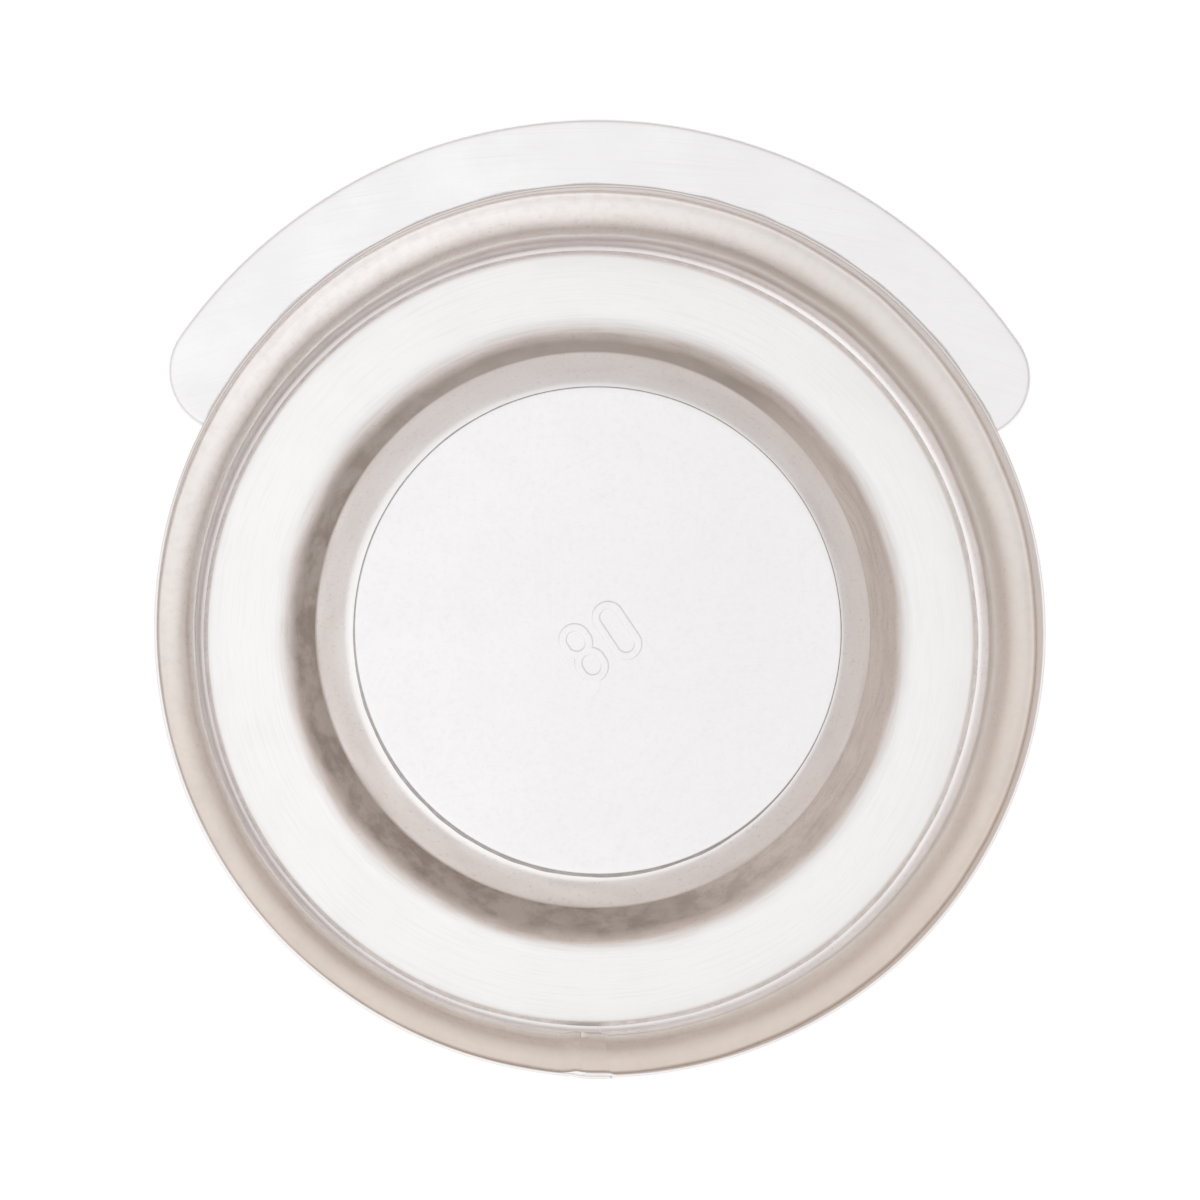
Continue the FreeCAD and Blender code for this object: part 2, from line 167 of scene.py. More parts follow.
def bent_path(corners, bends, offset=0.0, run_step=RUN_STEP):
    """Points of a bent sheet's face, at a distance to the right of a path of (radius, height) corners."""
    corners = [np.array(c, float) for c in corners]
    steps = [(b - a) / np.linalg.norm(b - a) for a, b in zip(corners, corners[1:])]
    rights = [np.array([d[1], -d[0]]) for d in steps]
    points = []

    def run_to(start, end):
        count = max(1, int(np.linalg.norm(end - start) / run_step))
        points.extend(start + (end - start) * k / count for k in range(count))

    start = corners[0] + rights[0] * offset
    for corner, before, after, right, bend in zip(corners[1:-1], steps, steps[1:], rights, bends):
        turn = math.atan2(before[0] * after[1] - before[1] * after[0], before @ after)
        side = -1 if turn > 0 else 1
        centre = corner - before * bend * math.tan(abs(turn) / 2) + right * side * bend
        spoke = -right * side * (bend - side * offset)
        run_to(start, centre + spoke)
        arc_steps = max(8, int(abs(turn) * bend / ARC_STEP))
        points.extend(centre + turned(spoke, turn * k / arc_steps) for k in range(arc_steps))
        start = centre + turned(spoke, turn)
    end = corners[-1] + rights[-1] * offset
    run_to(start, end)
    points.append(end)
    return np.array(points)


def sheet_section(corners, bends, near=0.0, far=SHEET, run_step=RUN_STEP):
    """Closed section of a bent sheet with slightly rounded cut edges, as (radius, height) points."""
    corners = [np.array(c, float) for c in corners]
    first = (corners[1] - corners[0]) / np.linalg.norm(corners[1] - corners[0])
    last = (corners[-1] - corners[-2]) / np.linalg.norm(corners[-1] - corners[-2])
    corners[0] = corners[0] + first * CUT_EDGE
    corners[-1] = corners[-1] - last * CUT_EDGE
    face = bent_path(corners, bends, near, run_step=run_step)
    back = bent_path(corners, bends, far, run_step=run_step)[::-1]

    def rounded(a, b, along):
        middle = (a + b) / 2
        angles = [math.radians(d) for d in (-60, -30, 0, 30, 60)]
        return [middle + (b - a) / 2 * math.sin(t) + along * CUT_EDGE * math.cos(t) for t in angles]

    return np.array([
        *face,
        *rounded(face[-1], back[0], last),
        *back,
        *rounded(back[-1], face[0], -first),
    ])


def lathe(section, start=0.0, sweep=FULL_TURN, steps=STEPS_ROUND):
    """Points and faces of a closed section turned about the Z axis; a part turn gets flat ends."""
    whole = sweep == FULL_TURN
    rows = steps if whole else steps + 1
    angles = start + sweep * np.arange(rows) / steps
    count = len(section)
    points = np.array([on_circle(r, angle, z) for angle in angles for r, z in section])
    faces = []
    for i in range(steps):
        here = i * count
        there = (i + 1) % rows * count
        for j in range(count):
            k = (j + 1) % count
            faces.append((here + j, here + k, there + k, there + j))
    if not whole:
        faces.append(tuple(reversed(range(count))))
        faces.append(tuple((rows - 1) * count + j for j in range(count)))
    return points, faces


def on_circle(radius, angle, z):
    """A point from its radius, direction and height."""
    return (radius * math.cos(angle), radius * math.sin(angle), z)


def join(*shells):
    """Several (points, faces) shells as one."""
    points, faces, shift = [], [], 0
    for shell_points, shell_faces in shells:
        points.append(shell_points)
        faces += [tuple(v + shift for v in f) for f in shell_faces]
        shift += len(shell_points)
    return np.concatenate(points), faces


def push_radially(points, amount):
    """Moves points away from the Z axis by an amount each."""
    moved = points.copy()
    radius = np.hypot(points[:, 0], points[:, 1])
    moved[:, :2] *= ((radius + amount) / radius)[:, None]
    return moved


# ---------------------------------------------------------------- wall
WALL_CORNERS = [
    (FOOT_INNER_RADIUS, SHEET),
    (WALL_FOOT_RADIUS, SHEET),
    (WALL_TOP_RADIUS, STEP_Z - STEP_FALL),
    (RIM_RADIUS - SHEET, STEP_Z),
    (RIM_RADIUS - SHEET, RIM_Z),
]
WALL_BENDS = [2.0, 5.5, 0.8]
LAP_END = FRONT + (SEAM_X - LAP_WIDTH / 2) / RIM_RADIUS
JOGGLE_START = FRONT + (SEAM_X + LAP_WIDTH / 2) / RIM_RADIUS
JOGGLE_END = JOGGLE_START + JOGGLE_WIDTH / RIM_RADIUS
LAP_SWELL = 0.24             # how far the strip swells out where it's lapped
RIM_LEAN = 0.12              # the most that the rim leans in
STEP_IN = 0.15               # how far in the step lies, and
STEP_OUT_AT_BACK = 0.42      # how much further out it is at the back


def uneven_wall(points):
    """The hand-worked wall: its rim leans in a little here and there, and its bends wander.

    The step is widest at the back, where the ledge keeps the strip from pulling in, and the strip swells
    out a little where it's lapped.
    """
    height = points[:, 2]
    angle = np.arctan2(points[:, 1], points[:, 0])
    rim = ease(STEP_Z - 2, RIM_Z, height)
    lean = -RIM_LEAN * (0.5 + 0.5 * wander(points, 60, 3)) * rim
    at_back = ease(0.3, 1.0, points[:, 1] / np.hypot(points[:, 0], points[:, 1]))
    lean += (STEP_OUT_AT_BACK * at_back - STEP_IN) * np.exp(-((height - STEP_Z) / 3) ** 2)
    bends = ease(0.6, 3.0, height) * (1 - rim)
    wave = (0.12 * wander(points, 24, 4) + 0.05 * wander(points, 8, 5)) * bends
    lapped = ease(LAP_END - 1.2 / RIM_RADIUS, LAP_END, angle)
    lapped = lapped * (1 - ease(JOGGLE_START, JOGGLE_END, angle))
    swell = LAP_SWELL * lapped * ease(2.0, 6.0, height)
    moved = push_radially(points, lean + wave + swell)
    step = np.exp(-((height - STEP_Z + 0.4) / 1.2) ** 2)
    moved[:, 2] += step * 0.07 * wander(points, 18, 6)
    return moved


def wall_section_above(low):
    """The part of the wall's section above a height."""
    slope = (WALL_TOP_RADIUS - WALL_FOOT_RADIUS) / (STEP_Z - STEP_FALL - SHEET)
    corners = [(WALL_FOOT_RADIUS + slope * (low - SHEET), low), *WALL_CORNERS[2:]]
    return sheet_section(corners, WALL_BENDS[1:])


def lap_push(angle):
    """How far in the lap's inner layer lies at a direction; past the joggle it's inside the strip."""
    past_joggle = ease(JOGGLE_START - 0.004, JOGGLE_END, angle)
    return (SHEET + FILM) * (1 - past_joggle) + 0.02 * past_joggle


def outer_wall(material):
    """The wall's strip, and the end of it that laps inside behind a joggle."""
    section = sheet_section(WALL_CORNERS, WALL_BENDS)
    strip = lathe(section, JOGGLE_START, FULL_TURN - LAP_GAP / RIM_RADIUS)
    tongue, tongue_faces = lathe(wall_section_above(LAP_FOOT_Z), LAP_END, JOGGLE_END - LAP_END, 40)
    tongue = push_radially(tongue, -lap_push(np.arctan2(tongue[:, 1], tongue[:, 0])))
    points, faces = join(strip, (tongue, tongue_faces))
    return make_piece("wall_sheet", uneven_wall(points), faces, "outer_wall", material)


# ---------------------------------------------------------------- trough pan
def trough_pan(material):
    """The pan: a flat floor with a few shallow dents, rounded up into the riser."""
    corners = [(RISER_TOP_RADIUS, RISER_TOP_Z), (RISER_FOOT_RADIUS, FLOOR_Z), (FLOOR_RADIUS, FLOOR_Z)]
    points, faces = lathe(sheet_section(corners, [RISER_BEND], run_step=0.6))
    radius = np.hypot(points[:, 0], points[:, 1])
    floor = ease(52, 56, radius) * (1 - ease(62, 65, radius))
    riser = (1 - ease(49, 54, radius)) * ease(45.5, 47, radius)
    dents = floor * (0.07 * wander(points, 24, 11) + 0.02 * wander(points, 9, 12))
    waves = riser * (0.20 * wander(points, 16, 13) + 0.08 * wander(points, 6, 14))
    moved = push_radially(points, waves)
    moved[:, 2] += dents
    return make_piece("trough_pan_sheet", moved, faces, "trough_pan", material)


# ---------------------------------------------------------------- centre shoulder
def crown_height(distance):
    """Height of the shoulder's upper side at a distance from the crown's centre."""
    flat = CROWN_RADIUS - CROWN_BEND * math.tan(SHOULDER_SLOPE / 2)
    bend_run = CROWN_BEND * math.sin(SHOULDER_SLOPE)
    along = min(max(distance - flat, 0), bend_run)
    beyond = max(distance - flat - bend_run, 0)
    rounded = math.sqrt(CROWN_BEND**2 - along**2) - CROWN_BEND
    return CROWN_Z + rounded - beyond * math.tan(SHOULDER_SLOPE)


def centre_shoulder(material):
    """The sloping ring, whose crown isn't quite true to its outer edge."""
    corners = [
        (CROWN_BORE, CROWN_Z),
        (CROWN_RADIUS, CROWN_Z),
        (SHOULDER_RADIUS, SHOULDER_EDGE_Z),
        (SHOULDER_RADIUS, SHOULDER_FOOT_Z),
    ]
    points, faces = lathe(sheet_section(corners, [CROWN_BEND, SHOULDER_EDGE_BEND], run_step=0.5))
    radius = np.hypot(points[:, 0], points[:, 1])
    outward = np.clip((radius - CROWN_RADIUS) / (SHOULDER_RADIUS - CROWN_RADIUS), 0, 1)[:, None]
    moved = points.copy()
    moved[:, :2] += CROWN_CENTRE * (1 - outward) + SHOULDER_CENTRE * outward
    slope = ease(42, 43.5, radius) * (1 - ease(46, 47.0, radius))
    moved[:, 2] += slope * (0.06 * wander(points, 15, 21) + 0.02 * wander(points, 5, 22))
    return make_piece("centre_shoulder_sheet", moved, faces, "centre_shoulder", material)


# ---------------------------------------------------------------- counting plate
STAMP_HEIGHT = 11.0
STAMP_WIDTH = 5.6
STAMP_SPACING = 1.2
STAMP_STROKE = 1.5
STAMP_TURN = math.radians(34)
STAMP_CENTRE = np.array([0.3, -2.0])   # from the plate's centre
STAMP_BEVEL = 0.25           # width of the slope at a stroke's edge
STAMP_FIELD = 17.0           # side of the finely meshed square round the number
STAMP_CELLS = 190            # squares along that side
PLATE_RINGS = 34             # rings of faces between the square and the plate's edge
PLATE_SAG = 0.03             # how far the plate dips inside its edge


def ring_distance(points, centre, half_width, half_height):
    """Distance from an upright oval stroke's edge, negative inside the stroke."""
    reach = half_height - half_width
    x = points[:, 0] - centre[0]
    y = points[:, 1] - centre[1]
    y = y - np.clip(y, -reach, reach)
    return np.abs(np.hypot(x, y) - (half_width - STAMP_STROKE / 2)) - STAMP_STROKE / 2


def stamp_relief(points):
    """Height of the struck number 80 at points of the plate, in the plate's own centre."""
    cos, sin = math.cos(-STAMP_TURN), math.sin(-STAMP_TURN)
    local = (points - STAMP_CENTRE) @ np.array([[cos, -sin], [sin, cos]]).T
    half_width, half_height = STAMP_WIDTH / 2, STAMP_HEIGHT / 2
    lobe = (half_height + STAMP_STROKE / 2) / 2
    middle = (STAMP_WIDTH + STAMP_SPACING) / 2
    strokes = [
        ring_distance(local, (-middle, lobe - half_height), half_width, lobe),
        ring_distance(local, (-middle, half_height - lobe), half_width, lobe),
        ring_distance(local, (middle, 0), half_width, half_height),
    ]
    return STAMP_DEPTH * (1 - ease(-STAMP_BEVEL, 0, np.min(strokes, axis=0)))


def ring_of_faces(inner, outer):
    """Faces between two loops of the same number of points."""
    size = len(inner)
    return [(inner[i], outer[i], outer[(i + 1) % size], inner[(i + 1) % size]) for i in range(size)]


def square_to_circle(cells, rings):
    """A square grid round the stamp that opens out, ring by ring, into the plate's circle.

    Returns the flat points, the outermost ring's point numbers, the faces, and that ring's directions.
    """
    side = np.linspace(-STAMP_FIELD / 2, STAMP_FIELD / 2, cells + 1)
    points = [(x, y) for y in side for x in side]

    def number(i, j):
        return j * (cells + 1) + i

    faces = [
        (number(i, j), number(i + 1, j), number(i + 1, j + 1), number(i, j + 1))
        for j in range(cells)
        for i in range(cells)
    ]
    edge = [number(i, 0) for i in range(cells)]
    edge += [number(cells, j) for j in range(cells)]
    edge += [number(cells - i, cells) for i in range(cells)]
    edge += [number(0, cells - j) for j in range(cells)]
    square = np.array([points[k] for k in edge])
    angles = -3 * math.pi / 4 + FULL_TURN * np.arange(len(edge)) / len(edge)
    circle = np.stack([np.cos(angles), np.sin(angles)], axis=1)
    loop = edge
    for k in range(1, rings + 1):
        share = k / rings
        ring = square * (1 - share) + circle * PLATE_FLAT_RADIUS * share
        new = range(len(points), len(points) + len(ring))
        points.extend(map(tuple, ring))
        faces += ring_of_faces(loop, new)
        loop = new
    return np.array(points), loop, faces, circle


def counting_plate(material):
    """The plate: a flat disc with softened edges, and the number struck up through it."""
    flat, loop, faces, circle = square_to_circle(STAMP_CELLS, PLATE_RINGS)
    count = len(flat)
    inside = 1 - ease(34, 40, np.hypot(flat[:, 0], flat[:, 1]))
    waves = inside * PLATE_SAG * (wander(np.c_[flat, np.zeros(count)], 26, 31) - 1)
    height = PLATE_Z + stamp_relief(flat) + waves
    points = [*np.c_[flat, height], *np.c_[flat, height - SHEET]]
    faces += [tuple(v + count for v in reversed(f)) for f in faces]
    previous = loop
    for turn in np.linspace(0, math.pi, 9)[1:-1]:
        upper = turn < math.pi / 2
        drop = CUT_EDGE * (1 - math.cos(turn)) if upper else SHEET - CUT_EDGE * (1 + math.cos(turn))
        radius = PLATE_FLAT_RADIUS + CUT_EDGE * math.sin(turn)
        new = range(len(points), len(points) + len(circle))
        points.extend((x * radius, y * radius, PLATE_Z - drop) for x, y in circle)
        faces += ring_of_faces(previous, new)
        previous = new
    faces += ring_of_faces(previous, [v + count for v in loop])
    points = np.array(points)
    points[:, :2] += PLATE_CENTRE
    return make_piece("counting_plate_sheet", points, faces, "counting_plate", material)


# ---------------------------------------------------------------- ledge
def from_back(angle):
    """The unit vector at an angle to the right of straight back."""
    return np.array([math.sin(angle), math.cos(angle)])


def ledge_columns():
    """Steps along the ledge, from its middle to one end: outline point, outward normal and inner point."""
    inner_radius = RIM_RADIUS + FILM
    centre = LEDGE_END_DISTANCE * from_back(LEDGE_HALF_ANGLE)
    columns = []
    for angle in np.linspace(0, LEDGE_HALF_ANGLE, LEDGE_STEPS, endpoint=False):
        normal = from_back(angle)
        columns.append((normal * LEDGE_RADIUS, normal, normal * inner_radius))
    squares = inner_radius**2 - LEDGE_END_DISTANCE**2 - LEDGE_END_RADIUS**2
    last_turn = math.acos(squares / (2 * LEDGE_END_DISTANCE * LEDGE_END_RADIUS))
    tip = centre + LEDGE_END_RADIUS * from_back(LEDGE_HALF_ANGLE + last_turn)
    tip_angle = math.atan2(tip[0], tip[1]) - (LEDGE_BEND + 0.25) / inner_radius
    for share in np.linspace(0, 1, LEDGE_END_STEPS):
        normal = from_back(LEDGE_HALF_ANGLE + last_turn * share)
        inner_angle = LEDGE_HALF_ANGLE + (tip_angle - LEDGE_HALF_ANGLE) * share
        columns.append((centre + normal * LEDGE_END_RADIUS, normal, inner_radius * from_back(inner_angle)))
    return columns


def ledge_section(outline, normal, inner, across=10):
    """Closed section of the ledge at one column: over the top, round the turned edge and back under."""
    def lip(inset, bend, top, steps=8):
        edge = outline - normal * inset
        points = []
        for k in range(steps + 1):
            angle = math.pi / 2 * k / steps
            out = edge - normal * bend * (1 - math.sin(angle))
            points.append((*out, top - bend * (1 - math.cos(angle))))
        return points

    outer_lip = lip(0, LEDGE_BEND, LEDGE_Z)
    inner_lip = lip(SHEET, LEDGE_BEND - SHEET, LEDGE_Z - SHEET)
    middle = outline - normal * SHEET / 2
    start = np.array(outer_lip[0][:2])
    below = np.array(inner_lip[0][:2])
    top = [(*(inner + (start - inner) * k / across), LEDGE_Z) for k in range(across)]
    under = [(*(inner + (below - inner) * k / across), LEDGE_Z - SHEET) for k in range(across)]
    foot = [
        (*outline, LEDGE_FOOT_Z + CUT_EDGE),
        (*(middle + normal * 0.15), LEDGE_FOOT_Z),
        (*(middle - normal * 0.15), LEDGE_FOOT_Z),
        (*(outline - normal * SHEET), LEDGE_FOOT_Z + CUT_EDGE),
    ]
    return top + outer_lip + foot + inner_lip[::-1] + under[::-1]


def ledge_plate(material):
    """The crescent ledge with its turned-down edge, a little wavy."""
    half = ledge_columns()
    mirror = np.array([-1, 1])
    columns = [(o * mirror, n * mirror, i * mirror) for o, n, i in reversed(half[1:])] + half
    sections = [ledge_section(*column) for column in columns]
    count = len(sections[0])
    points = np.array([p for section in sections for p in section])
    faces = []
    for i in range(len(sections) - 1):
        for j in range(count):
            k = (j + 1) % count
            faces.append((i * count + j, (i + 1) * count + j, (i + 1) * count + k, i * count + k))
    faces.append(tuple(range(count)))
    faces.append(tuple(reversed(range(len(points) - count, len(points)))))
    radius = np.hypot(points[:, 0], points[:, 1])
    outward = ease(RIM_RADIUS + 1, LEDGE_RADIUS, radius)
    clear_of_rim = ease(RIM_RADIUS, RIM_RADIUS + 3, radius)
    points[:, 2] -= outward * 0.12 * (0.5 + 0.5 * wander(points, 40, 41))
    points[:, 2] -= clear_of_rim * 0.03 * (1 + wander(points, 12, 42))
    points = push_radially(points, -0.10 * outward * (0.5 + 0.5 * wander(points, 30, 43)))
    return make_piece("ledge_sheet", points, faces, "ledge_plate", material)


# ---------------------------------------------------------------- solder
WIDE_SIDE = math.radians(-110)   # where the solder round the plate runs widest
LAP_CORNERS = [
    (WALL_FOOT_RADIUS + 0.03, LAP_FOOT_Z),
    *WALL_CORNERS[2:-1],
    (RIM_RADIUS - SHEET, RIM_Z - 0.03),
]
SMEAR_COLUMNS = 13
PROUD = 0.02                 # how far the smeared solder stands off the sheet
LUMP_WIDTH = 1.5             # the solder that stands proud along the lap's outer end
LUMP_HEIGHT = 0.05
LUMP_COLUMNS = 7
DRIP_Z = 10.0                # the drip of solder on the lap, just above where the wall starts to bend out
DRIP_RADIUS = 68.5           # where its top meets the wall


def bead(angles, sizes, section_at):
    """A bead along an arc, where section_at(angle, size) gives its closed (radius, height) section."""
    rows = [section_at(angle, size) for angle, size in zip(angles, sizes)]
    count = len(rows[0])
    points = np.array([on_circle(r, angle, z) for angle, row in zip(angles, rows) for r, z in row])
    faces = []
    for i in range(len(rows) - 1):
        for j in range(count):
            k = (j + 1) % count
            faces.append((i * count + j, i * count + k, (i + 1) * count + k, (i + 1) * count + j))
    faces.append(tuple(reversed(range(count))))
    faces.append(tuple((len(rows) - 1) * count + j for j in range(count)))
    return points, faces


def lumps(angles, radius, wavelength, seed):
    """A wandering value of about 0 to 1 along an arc."""
    points = np.stack([radius * np.cos(angles), radius * np.sin(angles), np.zeros(len(angles))], axis=1)
    return 0.5 + 0.5 * wander(points, wavelength, seed)


def corner_bead(radius, corner_z, size, side, sink=0.06, hollow=0.35, steps=5):
    """Section of solder in the corner outside a wall: side is 1 above a shelf and -1 below it."""
    points = [(radius - sink, corner_z - sink * side), (radius + size, corner_z - sink * side)]
    for k in range(steps + 1):
        share = k / steps
        pull = 1 - hollow * math.sin(math.pi * share)
        points.append((radius + size * (1 - share) * pull, corner_z + side * size * share * pull))
    points.append((radius - sink, corner_z + side * size))
    return points


def ledge_end_half_angle():
    """Half the angle that the ledge spans at the wall."""
    squares = LEDGE_END_DISTANCE**2 + RIM_RADIUS**2 - LEDGE_END_RADIUS**2
    return LEDGE_HALF_ANGLE + math.acos(squares / (2 * LEDGE_END_DISTANCE * RIM_RADIUS))


def ledge_solder(name, node, corner_z, side, size, variation, largest, seed, material):
    """A lumpy bead where the ledge meets the wall, above it (side 1) or below it (side -1)."""
    half = ledge_end_half_angle() - 1.2 / RIM_RADIUS
    angles = np.linspace(BACK - half, BACK + half, 900)
    amount = size * (1 - variation + 2 * variation * lumps(angles, RIM_RADIUS, 8, seed))
    amount *= 0.8 + 0.4 * lumps(angles, RIM_RADIUS, 25, seed + 1)
    fade = np.minimum(1, (half - np.abs(angles - BACK)) * RIM_RADIUS / 2 + 0.25)

    def section(_, size_here):
        return corner_bead(RIM_RADIUS - 0.03, corner_z, size_here, side)

    points, faces = bead(angles, np.minimum(amount * fade, largest), section)
    return make_piece(name, points, faces, node, material)


def floor_seam_solder(material):
    """The thin line of solder round the pan's edge."""
    angles = FRONT + np.linspace(0, FULL_TURN, 1080)
    amount = 0.55 + 0.3 * lumps(angles, FLOOR_RADIUS, 14, 51)

    def section(_, size):
        return [
            (FLOOR_RADIUS - 0.12, SHEET - 0.02),
            (FLOOR_RADIUS + size, SHEET - 0.02),
            (FLOOR_RADIUS + size * 0.6, SHEET + 0.12),
            (FLOOR_RADIUS + size * 0.3, SHEET + 0.28),
            (FLOOR_RADIUS + 0.02, SHEET + 0.46),
            (FLOOR_RADIUS - 0.12, SHEET + 0.46),
        ]

    points, faces = bead(angles, amount, section)
    return make_piece("floor_seam_bead", points, faces, "floor_seam_solder", material)


def shoulder_solder(material):
    """The bead under the shoulder's edge, all the way round the riser."""
    angles = np.linspace(0, FULL_TURN, 720)
    amount = 0.75 + 0.5 * lumps(angles, SHOULDER_RADIUS, 6, 61)
    top = SHOULDER_FOOT_Z
    inner = RISER_TOP_RADIUS + RISER_RUN * (RISER_TOP_Z - top) - 0.25

    def section(angle, size):
        direction = np.array([math.cos(angle), math.sin(angle)])
        outer = SHOULDER_RADIUS + SHOULDER_CENTRE @ direction - SHEET / 2
        foot = inner + RISER_RUN * size
        return [
            (inner, top + 0.3),
            (inner - 0.1, top),
            (foot - 0.1, top - size),
            (foot + 0.3, top - size),
            ((foot + outer) / 2 + 0.1, top - size * 0.55),
            (outer, top - 0.02),
            (outer - 0.3, top + 0.3),
        ]

    points, faces = bead(angles, amount, section)
    return make_piece("shoulder_bead", points, faces, "shoulder_solder", material)


def plate_solder(material):
    """The solder round the plate's edge, which runs wider on one side."""
    angles = np.linspace(0, FULL_TURN, 720)
    wide = ease(0.1, 1.0, np.cos(angles - WIDE_SIDE))
    amount = (0.2 + 0.36 * wide) * (0.85 + 0.3 * lumps(angles, PLATE_RADIUS, 6, 71))

    def section(angle, size):
        outward = np.array([math.cos(angle), math.sin(angle)])

        def crown(reach):
            place = PLATE_CENTRE + outward * (PLATE_RADIUS + reach)
            return crown_height(np.linalg.norm(place - CROWN_CENTRE))

        return [
            (PLATE_RADIUS - 0.4, crown(-0.4) - 0.05),
            (PLATE_RADIUS - 0.1, PLATE_Z - 0.34),
            (PLATE_RADIUS + size * 0.15, PLATE_Z - 0.38),
            (PLATE_RADIUS + size * 0.5, crown(size * 0.5) + 0.05),
            (PLATE_RADIUS + size, crown(size) + 0.01),
            (PLATE_RADIUS + size, crown(size) - 0.12),
        ]

    points, faces = bead(angles, amount, section)
    points[:, :2] += PLATE_CENTRE
    return make_piece("plate_bead", points, faces, "plate_solder", material)


def slab(front, back, rows, columns):
    """A closed slab between two matching grids of points, given row by row."""
    count = rows * columns
    faces = [
        (i * columns + k, (i + 1) * columns + k, (i + 1) * columns + k + 1, i * columns + k + 1)
        for i in range(rows - 1)
        for k in range(columns - 1)
    ]
    faces += [tuple(v + count for v in reversed(f)) for f in faces]
    border = list(range(columns))
    border += [i * columns + columns - 1 for i in range(1, rows)]
    border += [(rows - 1) * columns + k for k in range(columns - 2, -1, -1)]
    border += [i * columns for i in range(rows - 2, 0, -1)]
    for here, there in zip(border, border[1:] + border[:1]):
        faces.append((here, there, there + count, here + count))
    return np.array([*front, *back]), faces


def lap_smear():
    """The solder smeared over the inner end of the lap, so that the sheet's edge hardly shows."""
    path = bent_path(LAP_CORNERS, WALL_BENDS[1:], -PROUD)
    widths = 3.6 + 0.8 * wander(np.c_[path, np.zeros(len(path))], 6, 81)
    front, back = [], []
    for (r, z), width in zip(path, widths):
        for share in np.linspace(0, 1, SMEAR_COLUMNS):
            angle = LAP_END + (0.5 - share * width) / RIM_RADIUS
            front.append(on_circle(r - (SHEET + FILM) * (1 - ease(0.08, 1.0, share)), angle, z))
            back.append(on_circle(r + 0.1, angle, z - 0.12))
    return slab(front, back, len(path), SMEAR_COLUMNS)


def lap_film():
    """The solder between the two layers of the lap, as it shows along the rim."""
    section = sheet_section(LAP_CORNERS, WALL_BENDS[1:], -FILM - 0.1, 0.1)
    return lathe(section, LAP_END + 0.2 / RIM_RADIUS, (LAP_WIDTH - 0.2) / RIM_RADIUS, 30)


def lap_lump():
    """The proud line down the outside, where the outer end of the lap is soldered over."""
    path = bent_path(LAP_CORNERS, WALL_BENDS[1:], SHEET)
    front, back = [], []
    for r, z in path:
        for share in np.linspace(-1, 1, LUMP_COLUMNS):
            angle = JOGGLE_START + share * LUMP_WIDTH / 2 / RIM_RADIUS
            swell = LUMP_HEIGHT * (1 - ease(0.2, 1.0, abs(share)))
            front.append(on_circle(r - 0.1, angle, z))
            back.append(on_circle(r - PROUD + swell, angle, z))
    return slab(front, back, len(path), LUMP_COLUMNS)


def lap_drip():
    """A drip of bright solder with a nearly level top, broad at the lap's end and tapering along it."""
    def section(_, share):
        inner = DRIP_RADIUS - 1.6 * (1 - share) * ease(0, 0.03, share) - 0.1
        return [
            (inner + 0.2, DRIP_Z - 0.9),
            (DRIP_RADIUS, DRIP_Z - 0.9),
            (DRIP_RADIUS, DRIP_Z + 0.75),
            (inner, DRIP_Z - 0.05),
        ]

    return bead(np.linspace(LAP_END, JOGGLE_START, 24), np.linspace(0, 1, 24), section)


def wall_seam_solder(material):
    """All the solder of the wall's lap."""
    points, faces = join(lap_smear(), lap_film(), lap_lump(), lap_drip())
    return make_piece("wall_seam_bead", uneven_wall(points), faces, "wall_seam_solder", material)


# ---------------------------------------------------------------- materials
def add(tree, kind, inputs=None, **settings):
    """A shader node with its settings, and its inputs linked or set."""
    made = tree.nodes.new("ShaderNode" + kind)
    for key, value in settings.items():
        setattr(made, key, value)
    for key, value in (inputs or {}).items():
        if isinstance(value, bpy.types.NodeSocket):
            tree.links.new(value, made.inputs[key])
        else:
            made.inputs[key].default_value = value
    return made


def calc(tree, operation, *values):
    """The output of a math node."""
    return add(tree, "Math", dict(enumerate(values)), operation=operation).outputs[0]


def times(tree, product, *values):
    """The product of several values."""
    for value in values:
        product = calc(tree, "MULTIPLY", product, value)
    return product


def mix(tree, share, a, b):
    """A mix of two colours."""
    return add(tree, "Mix", {0: share, 6: a, 7: b}, data_type="RGBA").outputs[2]


def paint(tree, colour, layers):
    """A colour with (mask, tint) layers laid over it, one after another."""
    for mask, tint in layers:
        colour = mix(tree, mask, colour, (*tint, 1))
    return colour


def fit(tree, value, low, high, to_low=0.0, to_high=1.0):
    """A value fitted from one range to another, smoothly and clamped."""
    ranges = {"Value": value, "From Min": low, "From Max": high, "To Min": to_low, "To Max": to_high}
    return add(tree, "MapRange", ranges, interpolation_type="SMOOTHSTEP").outputs[0]


def noise(tree, vector, scale, detail=2.0, roughness=0.5):
    """A noise value of about 0 to 1."""
    settings = {"Vector": vector, "Scale": scale, "Detail": detail, "Roughness": roughness}
    return add(tree, "TexNoise", settings).outputs[0]


def object_space(tree):
    """The point in millimetres, and its x, y and z."""
    place = add(tree, "TexCoord").outputs["Object"]
    scaled = add(tree, "VectorMath", {0: place, 3: 1 / MM}, operation="SCALE").outputs[0]
    split = add(tree, "SeparateXYZ", {0: scaled})
    return scaled, split.outputs[0], split.outputs[1], split.outputs[2]


def distance_from_axis(tree, x, y):
    """A point's distance from the dish's axis."""
    return calc(tree, "SQRT", calc(tree, "ADD", times(tree, x, x), times(tree, y, y)))


def towards(tree, x, y, radius, direction):
    """1 on the side of the dish that lies in a direction, falling to 0 on the opposite side."""
    along_x = times(tree, x, math.cos(direction))
    along_y = times(tree, y, math.sin(direction))
    along = calc(tree, "DIVIDE", calc(tree, "ADD", along_x, along_y), radius)
    return fit(tree, along, -1.0, 1.0)


